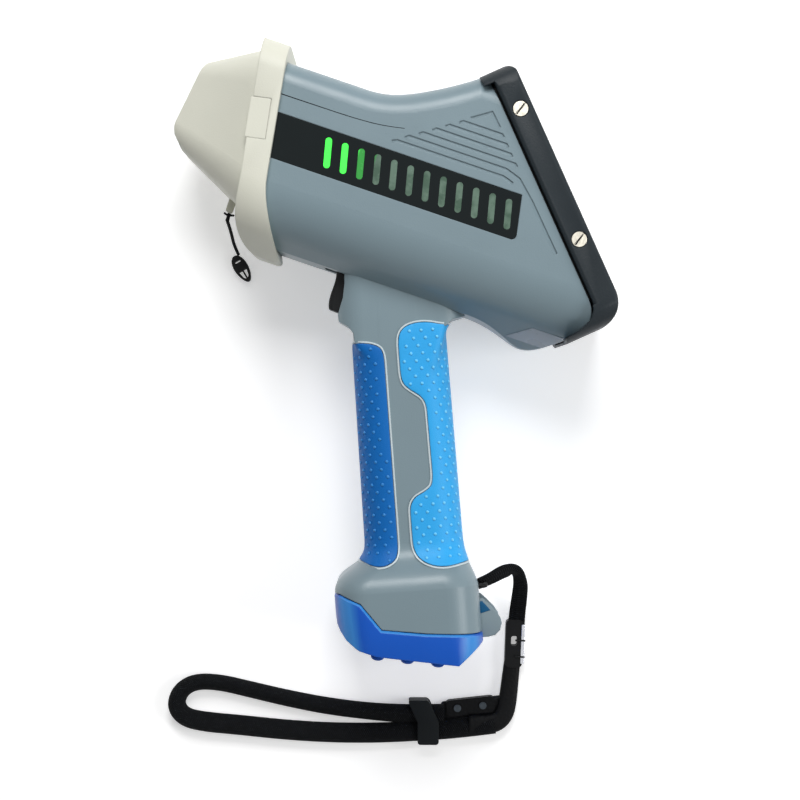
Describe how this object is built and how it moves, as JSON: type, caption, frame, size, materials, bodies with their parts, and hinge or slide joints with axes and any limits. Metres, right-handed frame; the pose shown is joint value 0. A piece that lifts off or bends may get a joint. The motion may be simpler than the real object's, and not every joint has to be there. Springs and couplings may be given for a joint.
{
  "type": "handheld x-ray fluorescence analyzer",
  "caption": "Pistol-grip X-ray fluorescence analyzer with a measuring nose, sloping display frame, soft grips, sliding battery foot and wrist strap.",
  "frame": {"origin": "middle of the flat measuring face at the front of the nose", "axes": "+X from the measuring face along the barrel to the display, +Y to the barrel's top, +Z out of the left side; the analyzer lies on its right side"},
  "size_m": [0.2603, 0.3655, 0.084],
  "materials": {
    "housing": "satin blue-grey moulded plastic",
    "nose": "satin cream moulded plastic",
    "window_metal": "anodised",
    "window_film": "thin amber film",
    "source_metal": "machined",
    "supply": "potted block",
    "board": "circuit board",
    "stripe": "glossy dark window",
    "light_bar": "light guide",
    "frame": "black moulding",
    "gasket": "soft black",
    "screen_glass": "clear glossy",
    "screen_panel": "dark panel",
    "screw": "nickel",
    "steel": "plain steel",
    "trigger": "black moulding",
    "switch": "switch body",
    "front_pad": "soft blue with raised dots",
    "rear_pad": "soft blue with raised dots",
    "battery_case": "battery pack",
    "contacts": "contact block",
    "base": "satin blue moulding",
    "feet": "soft feet",
    "latch": "grey moulding",
    "webbing": "black webbing",
    "loop": "black padded cloth tube",
    "clip": "black moulding",
    "tab": "black tab",
    "tether": "black cord"
  },
  "bodies": {
    "housing": {"housing_left": "housing", "housing_right": "housing", "nose_cone": "nose", "nose_flange": "nose", "flange_insert_left": "nose", "flange_insert_right": "nose", "tether_lug": "nose", "window_ring": "window_metal", "window_film": "window_film", "source_block": "source_metal", "xray_tube": "source_metal", "detector": "source_metal", "high_voltage_supply": "supply", "main_board": "board", "display_board": "board", "side_window_left": "stripe", "side_window_right": "stripe", "light_bars_left": "light_bar", "light_bars_right": "light_bar", "display_frame": "frame", "frame_gasket": "gasket", "display_glass": "screen_glass", "display_panel": "screen_panel", "frame_screw_1": "screw", "frame_screw_2": "screw", "frame_screw_3": "screw", "frame_screw_4": "screw", "housing_screws": "steel", "trigger_pin": "steel", "strap_anchor": "steel", "tab_rivets": "steel", "trigger_switch": "switch", "front_grip_pad": "front_pad", "rear_grip_pad": "rear_pad", "battery_contacts": "contacts", "strap_webbing_upper": "webbing", "strap_webbing_lower": "webbing", "strap_joint": "webbing", "wrist_loop": "loop", "strap_clip": "clip", "strap_keeper": "clip", "tether_clip": "clip", "strap_tab": "tab", "tether_cord": "tether"},
    "trigger": {"trigger": "trigger"},
    "power_button": {"power_button": "frame"},
    "battery": {"battery_base": "base", "battery_pack": "battery_case", "foot_pads": "feet", "latch_pin": "steel"},
    "latch": {"battery_latch": "latch"}
  },
  "joints": [
    {"name": "trigger_pull", "type": "hinge", "parent": "housing", "child": "trigger", "pos_m": [0.1035, -0.0535, 0], "axis": [0, 0, 1], "range_deg": [0, 7], "stiffness_Nm_per_rad": 0.3, "springref_deg": -5.73},
    {"name": "power_press", "type": "slide", "parent": "housing", "child": "power_button", "axis": [-0.7319, -0.6814, 0], "range_m": [0, 0.001], "stiffness_N_per_m": 500, "springref_m": -0.001},
    {"name": "battery_slide", "type": "slide", "parent": "housing", "child": "battery", "axis": [0.3907, -0.9205, 0], "range_m": [0, 0.115]},
    {"name": "latch_press", "type": "hinge", "parent": "battery", "child": "latch", "pos_m": [0.22213, -0.19597, 0], "axis": [0, 0, -1], "range_deg": [0, 10], "stiffness_Nm_per_rad": 0.05, "springref_deg": -5.73}
  ]
}
